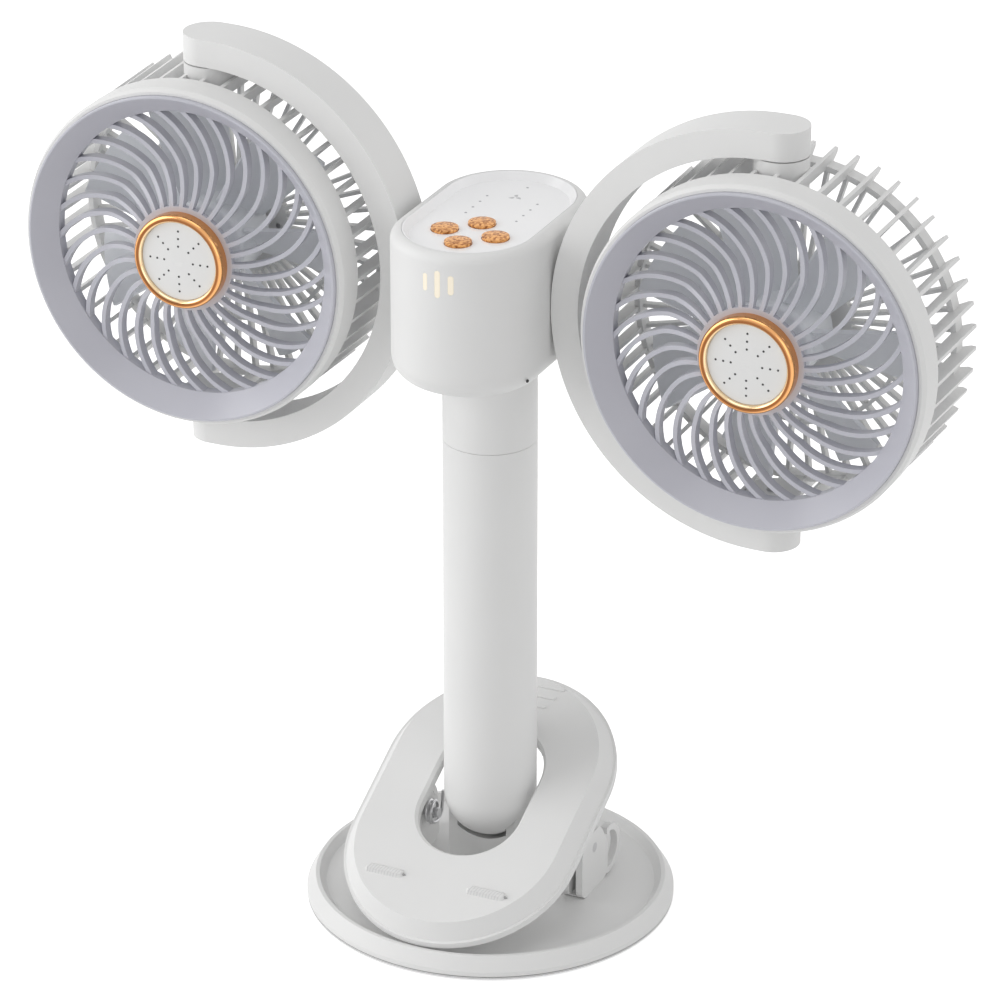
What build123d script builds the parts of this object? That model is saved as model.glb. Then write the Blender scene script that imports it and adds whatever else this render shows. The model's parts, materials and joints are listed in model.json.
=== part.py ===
from build123d import *
from math import cos, radians, sin, sqrt, tan
import os

# Dual-head desk fan
# +Z is up, the fans blow towards -Y, and the origin is the centre of the base's underside.
# The four places that turn are the column's foot, its neck, the box's sides and the yokes' ends.

# Base, all sizes in mm
base_radius = 80.0
base_wall_height = 4.2
rim_height = 10.0
rim_outer_radius = 76.2
rim_inner_radius = 74.4
floor_height = 6.4
floor_thickness = 1.8
floor_radius = 71.5
base_wall = 2.6
cover_seam = 0.3
foot_ring_height = 0.9
foot_ring_inner = 58.0
foot_ring_width = 12.0
cover_thickness = 1.6
ballast_radius = 56.0
ballast_gap = 0.2
base_screw_radius = 2.6
base_screw_circle = 48.0
base_screw_head = 0.8

# Column and its tilt fork
column_radius = 20.1
column_wall = 3.1
dome_centre_height = 50.2
column_bore_floor = 72.0
neck_seam_height = 217.4
neck_seam_gap = 0.2
tilt_pin_height = 38.0
tilt_pin_radius = 3.0
fork_outer_half = 17.4
fork_inner_half = 11.6
fork_half_depth = 9.0
fork_barrel_radius = 18.0
fork_socket_gap = 0.5
fork_flange_radius = 22.5
fork_flange_thickness = 2.4
tilt_limit = 15.0

# Running clearances
shaft_clearance = 0.05
side_clearance = 0.35
seat_gap = 0.1

# How far two parts of one moulding run into each other
overlap = 1.0

# Clip plate, tilted about X, sizes along its own plane
clip_tilt = 27.0
clip_height = 59.67
clip_centre = -15.6
clip_top_half_width = 45.7
clip_top_half_length = 66.7
clip_flange_half_width = 52.1
clip_flange_half_length = 72.5
clip_depth = 7.4
clip_lip = 3.4
clip_step = 1.2
clip_wall = 2.4
clip_hole_edge = 1.3
clip_hole_half_width = 23.2
clip_hole_half_length = 34.6
clip_hole_centre = -11.4
clip_collar_depth = 5.5
clip_collar_wall = 2.2
ridge_height = 0.8
ridge_width = 2.0
grip_ridges = ((47.5, 16.0), (42.2, 13.8), (36.9, 11.4))
front_bar_place = -62.2
front_bar_inner = 14.8
front_bar_length = 18.2
front_bar_width = 4.4
front_bar_height = 1.6
front_bar_slope = 1.0
jaw_pad_thickness = 8.0
jaw_pad_start = -75.5
jaw_pad_end = -69.0
jaw_pad_half_width = 17.0

# Clip hinge
hinge_y = 9.0
hinge_z = 27.0
hinge_pin_radius = 2.2
lug_inner_x = 39.6
lug_thickness = 2.6
lug_radius = 8.0
lug_flare = 3.2
bracket_gap = 0.3
bracket_outer_wall = 3.2
bracket_inner_wall = 3.6
bracket_front = -4.0
bracket_back = 23.0
bracket_top = 35.0
bracket_top_half = 6.0
bracket_front_rise = 2.0
bracket_back_drop = 4.0
bracket_round = 5.0
bracket_web_top = 8.4
bracket_loop_radius = 11.5
bracket_loop_wall = 3.0
bracket_loop_centre = (24.5, 18.6)
spring_coil_radius = 4.6
spring_wire = 1.4
spring_turns = 2
spring_pitch = 2.2
spring_leg = 9.0

# Control box, a stadium along Y
box_half_width = 32.5
box_half_length = 52.3
box_bottom = 253.5
box_top = 318.7
box_wall = 2.4
box_floor = 3.0
box_bottom_round = 10.5
box_top_round = 4.5
cavity_chamfer = 6.0
panel_gap = 0.15
panel_edge = 27.9
panel_dish_depth = 3.0
panel_dish_run = 2.6
panel_lip = 0.5
panel_thickness = 2.2
ledge_width = 2.4
ledge_thickness = 2.0
neck_radius = 20.1
spigot_radius = 13.9
spigot_length = 18.0

# Buttons and board
button_radius = 5.7
button_rise = 1.1
button_crown = 0.5
button_flange = 1.1
button_flange_thickness = 1.2
button_gap = 0.2
button_travel = 0.8
button_stem_radius = 2.0
button_side = 11.5
button_row = -19.1
board_drop = 8.6
board_thickness = 1.6
board_half_width = 22.0
board_half_length = 41.0
switch_size = 6.0
switch_height = 2.4
post_radius = 2.4
post_x = 12.5
post_y = 33.0

# Indicator bars on the box's front end: place along X, lower end, upper end, width
led_bars_sizes = ((-4.7, 302.1, 309.8, 2.0), (0.9, 299.8, 311.8, 2.5), (6.6, 301.7, 310.2, 2.5))
led_depth = 3.2
led_gap = 0.05

# Power
cell_radius = 9.2
cell_length = 65.0
cell_spacing = 9.6
cradle_height = 5.0
cradle_half_width = 19.5
cradle_half_length = 30.0
socket_width = 9.0
socket_height = 3.3
socket_length = 7.0
socket_wall = 0.4
socket_z = 285.0
socket_gap = 0.1

# Fan heads
head_z = 286.0
housing_radius = 75.0
band_front = 30.0
band_back = 15.0
band_wall = 2.5
band_round = 2.4
fin_count = 48
fin_thickness = 1.6
fin_first_angle = 5.5
fin_height = 6.0
fin_sink = 0.5
fin_flare = 0.3
fin_tip = -28.2
fin_tip_flat = 2.2
rear_front = -20.5
rear_back = -24.0
rear_ring_sink = 0.6
rear_ring_width = 2.4
rear_ring_front = -17.0
rear_mid_ring_radius = 45.0
rear_hub_radius = 24.0
pivot_boss_radius = 11.4
pivot_pin_start = 2.0
pivot_pin_radius = 3.0
pivot_pin_depth = 8.0
pivot_gap = 0.25

# Front grille
bezel_gap = 0.1
bezel_front = 31.9
bezel_width = 9.4
bezel_inner_front = 22.4
bezel_lip = 1.0
bezel_edge = 0.4
skirt_wall = 2.0
skirt_back = 24.0
rib_count = 32
rib_width = 1.9
rib_depth = 4.4
rib_first_angle = 2.25
rib_plate_front = 28.8
rib_knee_radius = 40.0
rib_knee_front = 22.8
rib_rim_front = 21.7
rib_sweep_start = -1.5
rib_sweep_middle = 17.0
rib_middle_radius = 43.5
rib_sweep_end = 23.5
plate_radius = 23.2
plate_thickness = 2.4
accent_outer = 20.9
accent_inner = 17.4
accent_rise = 3.6
accent_crown = 1.8
cap_rise = 3.4
cap_crown = 0.7

# Motor and impeller
motor_radius = 14.5
motor_front = 2.0
motor_edge = 1.5
shaft_radius = 1.5
shaft_back = -14.0
hub_radius = 18.5
hub_wall = 1.6
hub_front = 10.0
hub_back = -14.0
hub_round = 3.0
hub_cup_gap = 1.0
hub_boss_radius = 4.0
blade_count = 7
blade_tip_gap = 3.0
blade_thickness = 1.8
blade_root_chord = 24.0
blade_tip_chord = 34.0
blade_root_pitch = 48.0
blade_tip_pitch = 28.0
blade_middle_radius = 40.0
rear_screw_circle = 19.5
rear_screw_radius = 2.4
screw_head_height = 1.2

# Yokes
yoke_clearance = 4.6
yoke_root_gap = 0.4
yoke_thickness = 12.1
yoke_half_width = 11.5
yoke_shift = 4.0
axle_radius = 5.0
axle_reach = 9.0
axle_flange_radius = 8.0
axle_flange = 3.0

# Heights and places worked out from the sizes above
cover_bottom = foot_ring_height
cover_top = cover_bottom + cover_thickness
tray_bottom = cover_top - cover_thickness / 2 + cover_seam
floor_bottom = floor_height - floor_thickness
ballast_top = floor_bottom - ballast_gap
column_top = neck_seam_height - neck_seam_gap
dome_arm = dome_centre_height - tilt_pin_height
column_bore = column_radius - column_wall
cavity_half_width = box_half_width - box_wall
cavity_half_length = box_half_length - box_wall
straight_half = box_half_length - box_half_width
panel_floor = box_top - panel_dish_depth
panel_bottom = panel_floor - panel_thickness
ledge_bottom = panel_bottom - ledge_thickness
board_top = panel_bottom - board_drop
switch_top = board_top + switch_height
fin_band_radius = housing_radius - fin_sink
fin_tip_radius = housing_radius + fin_flare
fin_inner = housing_radius - fin_height
rear_ring_inner = fin_inner - rear_ring_sink
pivot_boss_root = rear_ring_inner
bezel_outer = housing_radius - band_wall - bezel_gap
bezel_opening = bezel_outer - bezel_width
blade_tip_radius = bezel_opening - blade_tip_gap
yoke_inner = housing_radius + yoke_clearance
yoke_outer = yoke_inner + yoke_thickness
yoke_root = box_half_width + yoke_root_gap
head_x = yoke_root + yoke_outer + yoke_shift
pivot_boss_top = sqrt(yoke_inner**2 - (pivot_boss_radius - yoke_shift) ** 2) - pivot_gap
lug_outer_x = lug_inner_x + lug_thickness
clip_plane = Plane(
    origin=(0, 0, clip_height),
    x_dir=(1, 0, 0),
    z_dir=(0, -sin(radians(clip_tilt)), cos(radians(clip_tilt))),
)
button_places = {
    "button_left": (-button_side, button_row),
    "button_right": (button_side, button_row),
    "button_back": (0, button_row + button_side),
    "button_front": (0, button_row - button_side),
}
sides = {"left": -1, "right": 1}

os.makedirs("parts", exist_ok=True)


def keep(piece, name):
    """Label a finished piece and write it to its own file."""
    piece.label = name
    export_step(piece, f"parts/{name}.step")


def stadium(half_width, half_length):
    """Add a stadium along Y to the open sketch."""
    SlotOverall(2 * half_length, 2 * half_width, rotation=90)


def crown_middle(edge, crown):
    """How high a round crown stands halfway between its edge and its axis."""
    ball = (edge**2 + crown**2) / (2 * crown)
    return sqrt(ball**2 - edge**2 / 4) - ball + crown


def head_seat(side):
    """The place of one fan head, whose own Z points forward and whose Y points up."""
    return Plane(origin=(side * head_x, 0, head_z), x_dir=(1, 0, 0), z_dir=(0, -1, 0)).location


# Base tray: bevelled outer wall, raised rim and sunk floor
with BuildPart() as base_tray:
    with BuildSketch(Plane.XZ):
        with BuildLine():
            Polyline(
                (0, floor_bottom),
                (base_radius - base_wall, floor_bottom),
                (base_radius - base_wall, tray_bottom),
                (base_radius, tray_bottom),
                (base_radius, base_wall_height),
                (rim_outer_radius, rim_height),
                (rim_inner_radius, rim_height),
                (floor_radius, floor_height),
                (0, floor_height),
                close=True,
            )
        make_face()
    revolve(axis=Axis.Z)
    rims = base_tray.edges().filter_by(GeomType.CIRCLE).sort_by(Axis.Z)[-2:]
    fillet(rims, 0.5)
    with PolarLocations(base_screw_circle, 4, start_angle=45):
        with Locations((0, 0, floor_bottom)):
            Cylinder(base_screw_radius / 2, floor_thickness * 0.7, align=(Align.CENTER, Align.CENTER, Align.MIN),
                     mode=Mode.SUBTRACT)
keep(base_tray.part, "base_tray")

# Underside cover, a step smaller than the tray, with a groove for the foot ring
with BuildPart() as base_cover:
    with BuildSketch(Plane.XY.offset(cover_bottom)):
        Circle(base_radius - seat_gap)
    extrude(amount=cover_thickness / 2)
    with BuildSketch(Plane.XY.offset(cover_bottom + cover_thickness / 2)):
        Circle(base_radius - base_wall - 2 * seat_gap)
    extrude(amount=cover_thickness / 2)
    with PolarLocations(base_screw_circle, 4, start_angle=45):
        with Locations((0, 0, cover_bottom)):
            Cylinder(base_screw_radius + seat_gap, screw_head_height * 0.8,
                     align=(Align.CENTER, Align.CENTER, Align.MIN), mode=Mode.SUBTRACT)
            Cylinder(base_screw_radius / 2, cover_thickness, align=(Align.CENTER, Align.CENTER, Align.MIN),
                     mode=Mode.SUBTRACT)
keep(base_cover.part, "base_cover")

# Rubber foot ring, the only piece that touches the table
with BuildPart() as foot_ring:
    with BuildSketch(Plane.XY):
        Circle(foot_ring_inner + foot_ring_width)
        Circle(foot_ring_inner, mode=Mode.SUBTRACT)
    extrude(amount=foot_ring_height)
keep(foot_ring.part, "foot_ring")

# Steel ballast plate between the cover and the floor
with BuildPart() as ballast_plate:
    with BuildSketch(Plane.XY.offset(cover_top + ballast_gap)):
        Circle(ballast_radius)
        with PolarLocations(base_screw_circle, 4, start_angle=45):
            Circle(base_screw_radius, mode=Mode.SUBTRACT)
    extrude(amount=ballast_top - cover_top - ballast_gap)
keep(ballast_plate.part, "ballast_plate")

# Four screws that hold the cover to the tray
with BuildPart() as base_screws:
    with PolarLocations(base_screw_circle, 4, start_angle=45):
        with Locations((0, 0, cover_bottom)):
            Cylinder(base_screw_radius, base_screw_head, align=(Align.CENTER, Align.CENTER, Align.MIN))
            Cylinder(base_screw_radius / 2 - seat_gap, floor_bottom - cover_bottom + overlap,
                     align=(Align.CENTER, Align.CENTER, Align.MIN))
keep(base_screws.part, "base_screws")

# Fork post on the base floor: a round stem with a socket for the column's dome
# and two cheeks rounded about the tilt pin
with BuildPart() as dome_socket:
    for angle in (0, -tilt_limit):
        with Locations((0, dome_arm * sin(radians(angle)), tilt_pin_height + dome_arm * cos(radians(angle)))):
            Sphere(column_radius + fork_socket_gap)
    with BuildSketch(Plane.XY):
        Rectangle(2 * fork_inner_half, 4 * column_radius)
    extrude(amount=dome_centre_height + 2 * column_radius, mode=Mode.INTERSECT)

with BuildPart() as fork_post:
    with BuildSketch(Plane.YZ) as fork_side:
        with Locations((0, tilt_pin_height)):
            Circle(fork_half_depth)
        with Locations((0, floor_height)):
            Rectangle(2 * fork_half_depth, tilt_pin_height - floor_height, align=(Align.CENTER, Align.MIN))
    extrude(amount=fork_barrel_radius, both=True)
    with BuildSketch(Plane.XY.offset(floor_height)):
        Circle(fork_barrel_radius)
    extrude(amount=tilt_pin_height + fork_half_depth - floor_height, mode=Mode.INTERSECT)
    with BuildSketch(Plane.XY.offset(floor_height)):
        Circle(fork_flange_radius)
    extrude(amount=fork_flange_thickness)
    add(dome_socket.part, mode=Mode.SUBTRACT)
    with BuildSketch(Plane.YZ.offset(-fork_barrel_radius)):
        with Locations((0, tilt_pin_height)):
            Circle(tilt_pin_radius)
    extrude(amount=2 * fork_barrel_radius, mode=Mode.SUBTRACT)
keep(fork_post.part, "fork_post")

# Tilt pin, held in the cheeks
with BuildPart() as tilt_pin:
    with BuildSketch(Plane.YZ.offset(-fork_outer_half + seat_gap)):
        with Locations((0, tilt_pin_height)):
            Circle(tilt_pin_radius)
    extrude(amount=2 * (fork_outer_half - seat_gap))
keep(tilt_pin.part, "tilt_pin")

# Column: a tube that ends in a hemisphere, with a pocket for each fork cheek
with BuildPart() as column_tube:
    with BuildSketch(Plane.XZ):
        with BuildLine():
            bottom_arc = CenterArc((0, dome_centre_height), column_radius, -90, 90)
            Polyline(
                bottom_arc @ 1,
                (column_radius, column_top),
                (column_bore, column_top),
                (column_bore, column_bore_floor),
                (0, column_bore_floor),
                bottom_arc @ 0,
            )
        make_face()
    revolve(axis=Axis.Z)
    for side in (-1, 1):
        pocket_middle = side * (fork_inner_half + column_radius) / 2
        pocket_width = column_radius - fork_inner_half + 2 * side_clearance
        for angle in (0, -tilt_limit / 2, -tilt_limit):
            pocket = Plane.YZ.offset(pocket_middle - pocket_width / 2)
            with BuildSketch(pocket):
                with Locations(Location((0, tilt_pin_height, 0), (0, 0, angle))):
                    Circle(fork_half_depth + side_clearance)
                    Rectangle(2 * (fork_half_depth + side_clearance), tilt_pin_height,
                              align=(Align.CENTER, Align.MAX))
            extrude(amount=pocket_width, mode=Mode.SUBTRACT)
    with BuildSketch(Plane.YZ.offset(-column_radius)):
        with Locations((0, tilt_pin_height)):
            Circle(tilt_pin_radius + shaft_clearance)
    extrude(amount=2 * column_radius, mode=Mode.SUBTRACT)
keep(column_tube.part, "column_tube")

# Bush in the column's top, in which the neck's spigot turns
with BuildPart() as swivel_bush:
    with BuildSketch(Plane.XY.offset(column_top - spigot_length)):
        Circle(column_bore - shaft_clearance)
        Circle(spigot_radius + shaft_clearance, mode=Mode.SUBTRACT)
    extrude(amount=spigot_length)
keep(swivel_bush.part, "swivel_bush")


def hinge_bracket(side):
    """One clip bracket: two cheeks, a web between them and a loop behind."""
    inner = lug_inner_x - bracket_gap - bracket_inner_wall
    outer = lug_outer_x + bracket_gap + bracket_outer_wall
    start = inner if side > 0 else -outer
    with BuildPart() as bracket:
        with BuildSketch(Plane.YZ.offset(start)) as outline:
            with BuildLine():
                Polyline(
                    (bracket_front, floor_height),
                    (bracket_back, floor_height),
                    (bracket_back, hinge_z - bracket_back_drop),
                    (hinge_y + bracket_top_half, bracket_top),
                    (hinge_y - bracket_top_half, bracket_top),
                    (bracket_front, hinge_z + bracket_front_rise),
                    close=True,
                )
            make_face()
            fillet(outline.vertices().group_by(Axis.Z)[-1], bracket_round)
            with Locations((hinge_y, hinge_z)):
                Circle(hinge_pin_radius, mode=Mode.SUBTRACT)
        extrude(amount=outer - inner)
        slot_start = lug_inner_x - bracket_gap if side > 0 else -lug_outer_x - bracket_gap
        with Locations((slot_start, bracket_front, bracket_web_top)):
            Box(lug_thickness + 2 * bracket_gap, bracket_back - bracket_front, bracket_top,
                align=Align.MIN, mode=Mode.SUBTRACT)
        loop_start = lug_outer_x + bracket_gap if side > 0 else -outer
        with BuildSketch(Plane.YZ.offset(loop_start)):
            with Locations(bracket_loop_centre):
                Circle(bracket_loop_radius)
                Circle(bracket_loop_radius - bracket_loop_wall, mode=Mode.SUBTRACT)
            with Locations((bracket_back - overlap, 0)):
                Rectangle(bracket_top, 2 * bracket_top, align=(Align.MAX, Align.CENTER), mode=Mode.SUBTRACT)
        extrude(amount=bracket_outer_wall)
    return bracket.part


def hinge_pin(side):
    """One hinge pin, running from its head outside the bracket to its riveted end inside."""
    inner = lug_inner_x - bracket_gap - bracket_inner_wall - spring_pitch * (spring_turns + 1)
    outer = lug_outer_x + bracket_gap + bracket_outer_wall
    start = inner if side > 0 else -outer
    with BuildPart() as pin:
        with BuildSketch(Plane.YZ.offset(start)):
            with Locations((hinge_y, hinge_z)):
                Circle(hinge_pin_radius)
        extrude(amount=outer - inner)
    return pin.part


def biarc(start, start_dir, end, end_dir):
    """Add two arcs that leave start along start_dir and reach end along end_dir."""
    chord = end - start
    both = start_dir + end_dir
    curve = 2 * (1 - start_dir.dot(end_dir))
    reach = chord.dot(both)
    span = chord.dot(chord)
    step = (-reach + sqrt(reach**2 + curve * span)) / curve
    middle = (start + end + (start_dir - end_dir) * step) * 0.5
    first = TangentArc(start, middle, tangent=start_dir)
    TangentArc(first @ 1, end, tangent=first % 1)


def torsion_spring(side):
    """One torsion spring round a hinge pin: quarter turns of wire and two straight legs."""
    first_x = lug_inner_x - bracket_gap - bracket_inner_wall - spring_wire
    quarters = 4 * spring_turns
    places = []
    for step in range(quarters + 1):
        angle = radians(90 * step)
        place = Vector(
            side * (first_x - spring_pitch * step / 4),
            hinge_y + spring_coil_radius * cos(angle),
            hinge_z + spring_coil_radius * sin(angle),
        )
        heading = Vector(
            -side * spring_pitch / (4 * radians(90)),
            -spring_coil_radius * sin(angle),
            spring_coil_radius * cos(angle),
        )
        places.append((place, heading.normalized()))
    with BuildPart() as spring:
        with BuildLine() as wire:
            lower = places[0][0] - places[0][1] * spring_leg
            Line(lower, places[0][0])
            for (start, start_dir), (end, end_dir) in zip(places, places[1:]):
                biarc(start, start_dir, end, end_dir)
            Line(places[-1][0], places[-1][0] + places[-1][1] * spring_leg)
        with BuildSketch(Plane(origin=lower, z_dir=places[0][1])):
            Circle(spring_wire / 2)
        sweep(path=wire.wires()[0])
    return spring.part


for side_name, side in sides.items():
    keep(hinge_bracket(side), f"hinge_bracket_{side_name}")

hinge_pins = Compound(children=[hinge_pin(side) for side in (-1, 1)])
keep(hinge_pins, "clip_hinge_pins")
clip_springs = Compound(children=[torsion_spring(side) for side in (-1, 1)])
keep(clip_springs, "clip_springs")

# Clip plate: bevelled stadium shell with a long hole, ridges, bars and two hinge lugs
with BuildPart() as clip_plate:
    with BuildSketch(clip_plane.offset(-clip_depth)):
        with Locations((0, clip_centre)):
            stadium(clip_flange_half_width - clip_step, clip_flange_half_length - clip_step)
    with BuildSketch(clip_plane):
        with Locations((0, clip_centre)):
            stadium(clip_top_half_width, clip_top_half_length)
    loft()
    with BuildSketch(clip_plane.offset(-clip_depth - clip_lip)):
        with Locations((0, clip_centre)):
            stadium(clip_flange_half_width, clip_flange_half_length)
    extrude(amount=clip_lip)
    with BuildSketch(clip_plane.offset(-clip_depth - clip_lip)):
        with Locations((0, clip_centre)):
            stadium(clip_flange_half_width - clip_wall, clip_flange_half_length - clip_wall)
    extrude(amount=clip_lip, mode=Mode.SUBTRACT)
    with BuildSketch(clip_plane.offset(-clip_depth)):
        with Locations((0, clip_centre)):
            stadium(clip_flange_half_width - clip_step - clip_wall, clip_flange_half_length - clip_step - clip_wall)
    with BuildSketch(clip_plane.offset(-clip_wall)):
        with Locations((0, clip_centre)):
            stadium(clip_top_half_width - clip_wall, clip_top_half_length - clip_wall)
    loft(mode=Mode.SUBTRACT)
    with BuildSketch(clip_plane.offset(-clip_collar_depth)):
        with Locations((0, clip_hole_centre)):
            stadium(clip_hole_half_width + clip_collar_wall, clip_hole_half_length + clip_collar_wall)
    extrude(amount=clip_collar_depth - clip_wall / 2)
    with BuildSketch(clip_plane.offset(-clip_depth)):
        with Locations((0, clip_hole_centre)):
            stadium(clip_hole_half_width, clip_hole_half_length)
    extrude(amount=clip_depth, mode=Mode.SUBTRACT)
    with BuildSketch(clip_plane.offset(-clip_hole_edge)):
        with Locations((0, clip_hole_centre)):
            stadium(clip_hole_half_width, clip_hole_half_length)
    with BuildSketch(clip_plane):
        with Locations((0, clip_hole_centre)):
            stadium(clip_hole_half_width + clip_hole_edge, clip_hole_half_length + clip_hole_edge)
    loft(mode=Mode.SUBTRACT)
    for ridge_place, ridge_half in grip_ridges:
        with BuildSketch(clip_plane.offset(-ridge_height)):
            with Locations((0, ridge_place)):
                SlotOverall(2 * ridge_half, ridge_width)
        extrude(amount=2 * ridge_height)
    for side in (-1, 1):
        bar_middle = (side * (front_bar_inner + front_bar_length / 2), front_bar_place)
        with BuildSketch(clip_plane.offset(-clip_wall / 2)):
            with Locations(bar_middle):
                SlotOverall(front_bar_length, front_bar_width)
        extrude(amount=clip_wall / 2)
        with BuildSketch(clip_plane):
            with Locations(bar_middle):
                SlotOverall(front_bar_length, front_bar_width)
        with BuildSketch(clip_plane.offset(front_bar_height)):
            with Locations(bar_middle):
                SlotOverall(front_bar_length - 2 * front_bar_slope, front_bar_width - 2 * front_bar_slope)
        loft()
        with BuildSketch(Plane.YZ.offset(lug_inner_x if side > 0 else -lug_outer_x)):
            with Locations((hinge_y, hinge_z)):
                Circle(lug_radius)
            with BuildLine():
                slope = tan(radians(clip_tilt))
                under = clip_height - clip_wall / 2
                Polyline(
                    (hinge_y - lug_radius, hinge_z),
                    (hinge_y + lug_radius, hinge_z),
                    (hinge_y + lug_radius + lug_flare, under + slope * (hinge_y + lug_radius + lug_flare)),
                    (hinge_y - lug_radius - lug_flare, under + slope * (hinge_y - lug_radius - lug_flare)),
                    close=True,
                )
            make_face()
            with Locations((hinge_y, hinge_z)):
                Circle(hinge_pin_radius + shaft_clearance, mode=Mode.SUBTRACT)
        extrude(amount=lug_thickness)
keep(clip_plate.part, "clip_plate")

# Rubber jaw pad under the front of the clip plate
with BuildPart() as jaw_pad:
    with BuildSketch(clip_plane.offset(-clip_wall - seat_gap / 2 - jaw_pad_thickness)):
        with Locations((0, (jaw_pad_start + jaw_pad_end) / 2)):
            SlotOverall(2 * jaw_pad_half_width, jaw_pad_end - jaw_pad_start)
    extrude(amount=jaw_pad_thickness)
keep(jaw_pad.part, "jaw_pad")

# Box shell: hollow stadium body with a ledge for the panel
with BuildPart() as cavity:
    with BuildSketch(Plane.XY.offset(box_bottom + box_floor)):
        stadium(cavity_half_width, cavity_half_length)
    extrude(amount=ledge_bottom - box_bottom - box_floor)
    chamfer(cavity.edges().group_by(Axis.Z)[0], cavity_chamfer)

with BuildPart() as box_shell:
    with BuildSketch(Plane.XY.offset(box_bottom)):
        stadium(box_half_width, box_half_length)
    extrude(amount=box_top - box_bottom)
    fillet(box_shell.edges().group_by(Axis.Z)[0], box_bottom_round)
    fillet(box_shell.edges().group_by(Axis.Z)[-1], box_top_round)
    add(cavity.part, mode=Mode.SUBTRACT)
    with BuildSketch(Plane.XY.offset(panel_bottom)):
        stadium(panel_edge, panel_edge + straight_half)
    extrude(amount=box_top - panel_bottom, mode=Mode.SUBTRACT)
    with BuildSketch(Plane.XY.offset(ledge_bottom)):
        stadium(panel_edge - ledge_width, panel_edge - ledge_width + straight_half)
    extrude(amount=ledge_thickness, mode=Mode.SUBTRACT)
    with BuildSketch(Plane.YZ.offset(-box_half_width)):
        with Locations((0, head_z)):
            Circle(axle_radius + shaft_clearance)
    extrude(amount=2 * box_half_width, mode=Mode.SUBTRACT)
    for led_x, led_low, led_high, led_width in led_bars_sizes:
        with BuildSketch(Plane.XZ.offset(cavity_half_length - box_wall)):
            with Locations((led_x, (led_low + led_high) / 2)):
                SlotOverall(led_high - led_low, led_width, rotation=90)
        extrude(amount=2 * box_wall, mode=Mode.SUBTRACT)
    with BuildSketch(Plane.XZ.offset(-box_half_length)):
        with Locations((0, socket_z)):
            SlotOverall(socket_width + 2 * socket_gap, socket_height + 2 * socket_gap)
    extrude(amount=2 * box_wall, mode=Mode.SUBTRACT)
keep(box_shell.part, "box_shell")

# Control panel: dished plate with four button holes and posts for the board
with BuildPart() as control_panel:
    with BuildSketch(Plane.XY.offset(panel_bottom)):
        stadium(panel_edge - panel_gap, panel_edge - panel_gap + straight_half)
    extrude(amount=box_top - panel_bottom)
    dish_edge = panel_edge - panel_gap - panel_lip
    with BuildSketch(Plane.XY.offset(panel_floor)):
        stadium(dish_edge - panel_dish_run, dish_edge - panel_dish_run + straight_half)
    with BuildSketch(Plane.XY.offset(box_top)):
        stadium(dish_edge, dish_edge + straight_half)
    loft(mode=Mode.SUBTRACT)
    with BuildSketch(Plane.XY.offset(panel_bottom)):
        with Locations(*button_places.values()):
            Circle(button_radius + button_gap)
    extrude(amount=panel_thickness, mode=Mode.SUBTRACT)
    with BuildSketch(Plane.XY.offset(board_top)):
        with GridLocations(2 * post_x, 2 * post_y, 2, 2):
            Circle(post_radius)
    extrude(amount=board_drop)
keep(control_panel.part, "control_panel")


def button(place):
    """One push button: crowned cap, retaining flange and stem."""
    cap_top = panel_floor + button_rise
    flange_top = panel_bottom - button_gap
    with BuildPart() as cap:
        with BuildSketch(Plane.XZ):
            with BuildLine():
                crown = ThreePointArc(
                    (button_radius, cap_top),
                    (button_radius / 2, cap_top + crown_middle(button_radius, button_crown)),
                    (0, cap_top + button_crown),
                )
                Polyline(
                    crown @ 1,
                    (0, switch_top + button_travel + button_gap),
                    (button_stem_radius, switch_top + button_travel + button_gap),
                    (button_stem_radius, flange_top - button_flange_thickness),
                    (button_radius + button_flange, flange_top - button_flange_thickness),
                    (button_radius + button_flange, flange_top),
                    (button_radius, flange_top),
                    crown @ 0,
                )
            make_face()
        revolve(axis=Axis.Z)
    return cap.part.moved(Location((place[0], place[1], 0)))


for button_name, button_place in button_places.items():
    keep(button(button_place), button_name)

# Circuit board with a switch under each button
with BuildPart() as circuit_board:
    with BuildSketch(Plane.XY.offset(board_top - board_thickness)):
        stadium(board_half_width, board_half_length)
    extrude(amount=board_thickness)
    with BuildSketch(Plane.XY.offset(board_top)):
        with Locations(*button_places.values()):
            Rectangle(switch_size, switch_size)
    extrude(amount=switch_height)
keep(circuit_board.part, "circuit_board")

# Three indicator bars, flush with the box's rounded front end
with BuildPart() as led_bars:
    for led_x, led_low, led_high, led_width in led_bars_sizes:
        with BuildSketch(Plane.XZ.offset(box_half_length - led_depth)):
            with Locations((led_x, (led_low + led_high) / 2)):
                SlotOverall(led_high - led_low - 2 * led_gap, led_width - 2 * led_gap, rotation=90)
        extrude(amount=led_depth)
    with BuildSketch(Plane.XY.offset(box_bottom)):
        stadium(box_half_width, box_half_length)
    extrude(amount=box_top - box_bottom, mode=Mode.INTERSECT)
keep(led_bars.part, "led_bars")

# Charge socket in the back end
with BuildPart() as charge_socket:
    with BuildSketch(Plane.XZ.offset(-box_half_length + box_wall / 2)):
        with Locations((0, socket_z)):
            SlotOverall(socket_width, socket_height)
            SlotOverall(socket_width - 2 * socket_wall, socket_height - 2 * socket_wall, mode=Mode.SUBTRACT)
    extrude(amount=socket_length)
keep(charge_socket.part, "charge_socket")

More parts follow.
